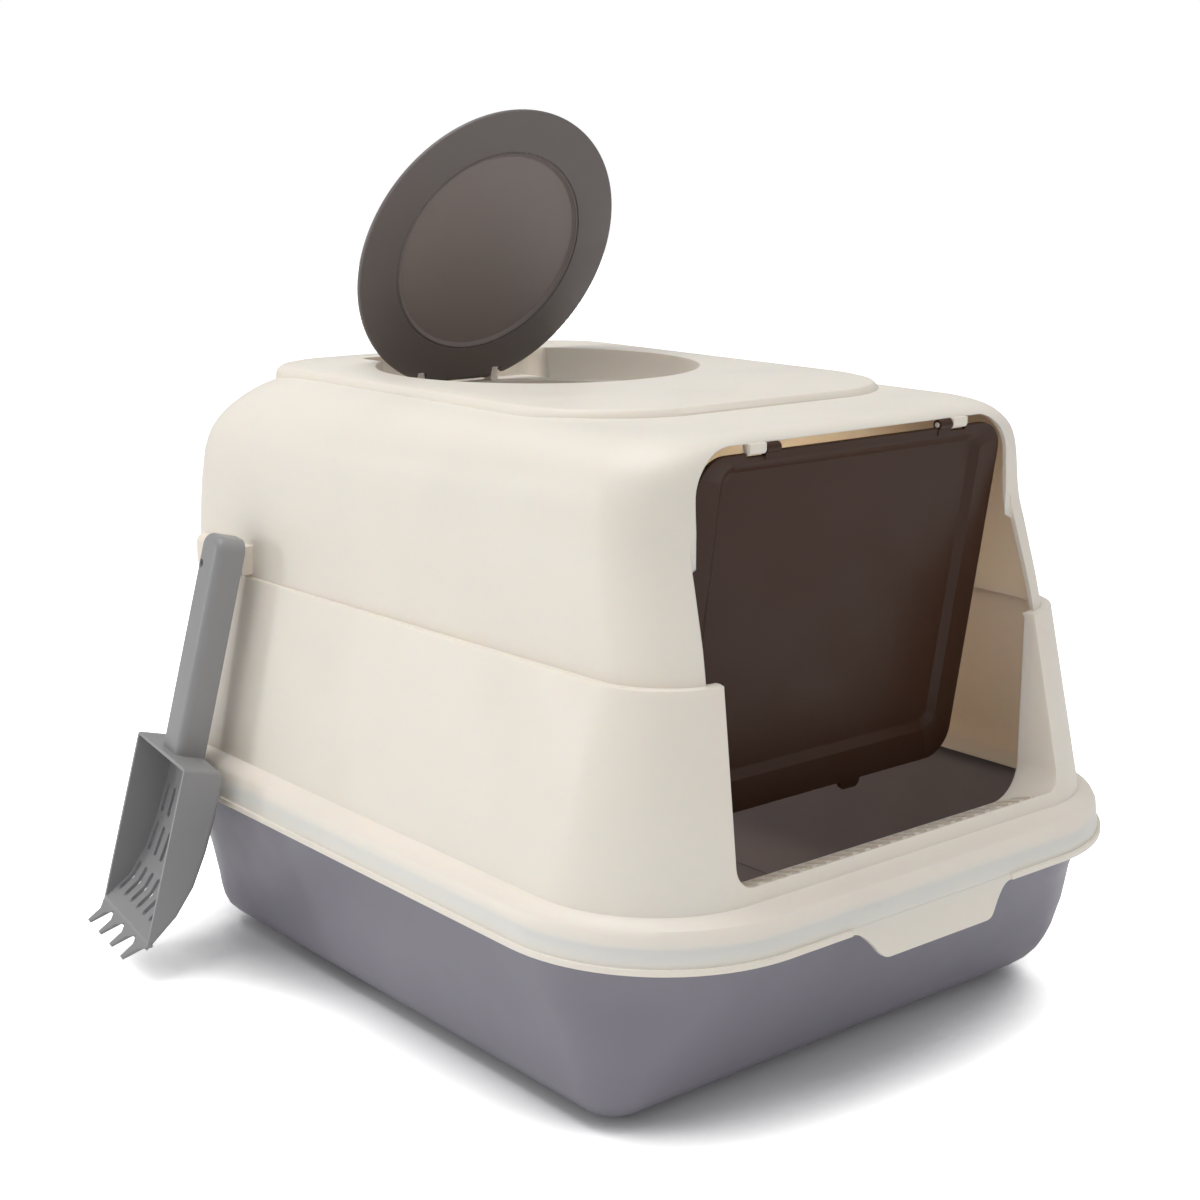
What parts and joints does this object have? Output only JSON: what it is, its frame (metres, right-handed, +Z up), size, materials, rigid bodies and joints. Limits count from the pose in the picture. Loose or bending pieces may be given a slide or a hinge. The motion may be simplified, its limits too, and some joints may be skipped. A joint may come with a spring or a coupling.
{
  "type": "hooded cat litter box",
  "caption": "Covered cat litter box: a deep tray, a lift-off hood with a swing flap entrance and a lidded top opening, and a slotted scoop on a side peg.",
  "frame": {"origin": "on the ground under the middle of the tray", "axes": "-Y is the front with the entrance, X runs across the box, +Z is up"},
  "size_m": [0.4673, 0.503, 0.5002],
  "materials": {
    "hood_plastic": "satin cream",
    "tray_plastic": "satin mid grey",
    "lid_plastic": "satin warm grey",
    "flap_plastic": "smoky brown, slightly see-through",
    "scoop_plastic": "satin grey"
  },
  "bodies": {
    "tray": {"tray": "tray_plastic"},
    "hood": {"hood": "hood_plastic"},
    "top_lid": {"top_lid": "lid_plastic"},
    "entry_flap": {"entry_flap": "flap_plastic"},
    "scoop": {"scoop": "scoop_plastic"}
  },
  "joints": [
    {"name": "hood_lift", "type": "slide", "parent": "tray", "child": "hood", "axis": [0, 0, 1], "range_m": [0, 0.3]},
    {"name": "lid_hinge", "type": "hinge", "parent": "hood", "child": "top_lid", "pos_m": [0, 0.166, 0.3365], "axis": [1, 0, 0], "range_deg": [-66, 66]},
    {"name": "flap_hinge", "type": "hinge", "parent": "hood", "child": "entry_flap", "pos_m": [0, -0.188, 0.3364], "axis": [1, 0, 0], "range_deg": [-89, 68]},
    {"name": "scoop_lift", "type": "slide", "parent": "hood", "child": "scoop", "axis": [-0.9611, 0.1283, 0.2447], "range_m": [0, 0.06]}
  ]
}
